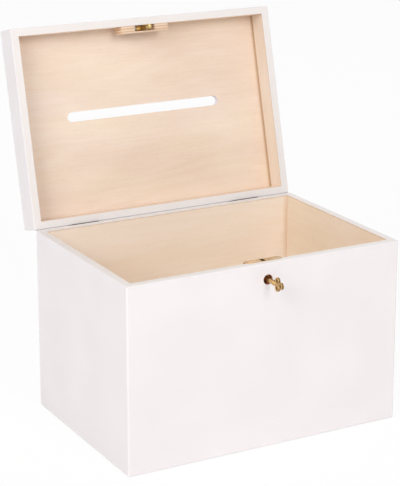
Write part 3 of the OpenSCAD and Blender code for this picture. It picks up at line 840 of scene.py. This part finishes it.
block = startBlock("catch_sawn_block", (-catch["blockLength"]/2, catch["blockY"], lidRim),
                   (catch["blockLength"]/2, catch["blockY"] + catch["blockDepth"],
                    lidRim + catch["blockHeight"]))
recess = startBlock("recess", (-catch["recessLength"]/2, catch["blockY"] - 1, lidRim - 1),
                    (catch["recessLength"]/2, catch["blockY"] + catch["recessDepth"],
                     lidRim + catch["plateHigh"]))
combine(block, recess, "DIFFERENCE")
catchPlate = startStrip("catch_recess_plate", catch["plateLength"], catch["plateWidth"],
                        lidRim + catch["plateLow"], lidRim + catch["plateHigh"], catch["y"])
for side in (-1, 1):
    through = (side*catch["screwX"], catch["y"], 0)
    pilot = startRod("pilot", catch["pilotRadius"], lidRim + catch["plateLow"], lidRim + catch["pilotTop"],
                     "Z", through, 24)
    combine(block, pilot, "DIFFERENCE")
    plateHole = startRod("plateHole", catch["holeRadius"], lidRim, lidRim + catch["holeCut"], "Z", through,
                         24)
    combine(catchPlate, plateHole, "DIFFERENCE")
swingOpen(block)
soften(block, catch["blockEdge"])
dress(block, catchPly, "lid", "birch_plywood", "catch_block")
swingOpen(catchPlate)
soften(catchPlate, catch["plateEdge"])
# its brass is darkened as painted shade of the recess
dress(catchPlate, recessShadeBrass, "lid", "brass", "catch_plate")

hookTip = lidRim - catch["hookDrop"]
hook = startBlock("catch_milled_hook", (-catch["hookWidth"]/2, catch["y"] - catch["hookDepth"]/2, hookTip),
                  (catch["hookWidth"]/2, catch["y"] + catch["hookDepth"]/2, lidRim + catch["plateLow"]))
bpy.ops.object.mode_set(mode="EDIT")
pick("edges", lambda spot, reach: abs(reach.x) > 0.5 and spot.z < hookTip + 0.01)
bpy.ops.mesh.bevel(offset=catch["hookNose"]*mm, segments=6)     # the round nose that finds the hole
bpy.ops.object.mode_set(mode="OBJECT")
(loopLow, loopHigh) = catch["loop"]
loopHole = startBlock("loopHole", (-4, catch["y"] - catch["loopWidth"]/2, lidRim + loopLow),
                      (4, catch["y"] + catch["loopWidth"]/2, lidRim + loopHigh))
combine(hook, loopHole, "DIFFERENCE")
swingOpen(hook)
soften(hook, catch["hookEdge"], 3)
dress(hook, hookBrass, "lid", "brass", "catch_hook")

catchScrew = roundScrew("catch_screw", catch["screwLength"], catch["screwScale"])
catchScrews = screwSet("catch_plate_screws", catchScrew,
                       [(side*catch["screwX"], catch["y"], lidRim + catch["plateLow"]) for side in (-1, 1)],
                       (180, 0, 0))
swingOpen(catchScrews)
dress(catchScrews, zincSteel, "lid", "zinc_steel", "catch_screws")
print("catch done")


# Key: a turned stem, a bit with one ward and a bow of three dished lobes, cast in one

keyShape = {
    "axisZ": boxRim - keyhole["drop"],
    # radii
    "barrel": 2.2, "collar": 2.7, "bead": 2.35, "neck": 1.55, "bore": 1.05,
    # along the axis, from the box's front face inwards
    "bowMiddle": -19.5, "boreFloor": 7.0, "tip": 13.6, "bitAlong": (8.6, 13), "wardAlong": (10.4, 11.2),
    # below the axis
    "bitBelow": (1.6, 4.6), "wardBelow": (3.6, 6),      # the ward's cut runs past the bit's foot
    "bitThickness": 1.8,
    "lobeOut": 4.1, "lobeRadius": 3.38, "lobeThickness": 2.5, "lobeEdge": 0.3,
    "rimWidth": 1.1, "dishSlope": 0.35, "dishDepth": 0.5,
    "webRadius": 3.2, "webThickness": 1.6,
    "grain": 0.13}               # mm of the remesh that melts the casting together
(barrel, collar, bead, neck, bore) = [keyShape[part] for part in ("barrel", "collar", "bead", "neck", "bore")]

# Drawn out along the axis from the bow to the tip, and then back into the bore
stem = startTurned("key_cast", [
    (keyShape["bowMiddle"], 1.3), (-17, 1.35), (-15.4, neck), (-14.6, 2.1), (-14.0, bead), (-13.4, 2.1),
    (-12.9, neck), (-12.4, 1.7), (-12.0, collar - 0.15), (-11.7, collar), (-10.8, collar),
    (-10.5, barrel + 0.1), (-10.2, barrel), (keyShape["tip"] - 0.2, barrel), (keyShape["tip"], barrel - 0.2),
    (keyShape["tip"], bore), (keyShape["boreFloor"], bore)], 48)
placeAt(stem, (0, boxFront, keyShape["axisZ"]), (-90, 0, 0))

(bitFrom, bitTo) = keyShape["bitAlong"]
(bitTop, bitFoot) = keyShape["bitBelow"]
(wardFrom, wardTo) = keyShape["wardAlong"]
(wardTop, wardFoot) = keyShape["wardBelow"]
bit = startBlock("bit", (-keyShape["bitThickness"]/2, boxFront + bitFrom, keyShape["axisZ"] - bitFoot),
                 (keyShape["bitThickness"]/2, boxFront + bitTo, keyShape["axisZ"] - bitTop))
ward = startBlock("ward", (-2, boxFront + wardFrom, keyShape["axisZ"] - wardFoot),
                  (2, boxFront + wardTo, keyShape["axisZ"] - wardTop))
combine(bit, ward, "DIFFERENCE")

keyParts = [stem, bit]
bowY = boxFront + keyShape["bowMiddle"]
for turn in (0, 120, 240):
    halfLobe = keyShape["lobeThickness"]/2
    lobe = startRod("lobe", keyShape["lobeRadius"], -halfLobe, halfLobe, "X", (0, 0, 0), 48)
    bpy.ops.object.mode_set(mode="EDIT")
    for side in (-1, 1):
        pick("faces", lambda spot, normal: normal.x*side > 0.9)
        bpy.ops.mesh.inset(thickness=keyShape["rimWidth"]*mm)
        bpy.ops.mesh.inset(thickness=keyShape["dishSlope"]*mm, depth=-keyShape["dishDepth"]*mm)
    bpy.ops.object.mode_set(mode="OBJECT")
    soften(lobe, keyShape["lobeEdge"], 3)
    angle = math.radians(turn)
    placeAt(lobe, (0, bowY - keyShape["lobeOut"]*math.cos(angle),
                   keyShape["axisZ"] - keyShape["lobeOut"]*math.sin(angle)))
    keyParts.append(lobe)
halfWeb = keyShape["webThickness"]/2
keyParts.append(startRod("web", keyShape["webRadius"], -halfWeb, halfWeb, "X", (0, bowY, keyShape["axisZ"])))
key = joinAll(keyParts)
key.data.remesh_voxel_size = keyShape["grain"]*mm
bpy.ops.object.voxel_remesh()
smoothing = key.modifiers.new("tumbled", "SMOOTH")
smoothing.factor = 0.5
smoothing.iterations = 2
bpy.ops.object.modifier_apply(modifier=smoothing.name)
bpy.ops.object.shade_smooth()
dress(key, castBrass, "key", "aged_brass", "key")
print("key done:", len(key.data.polygons), "faces")
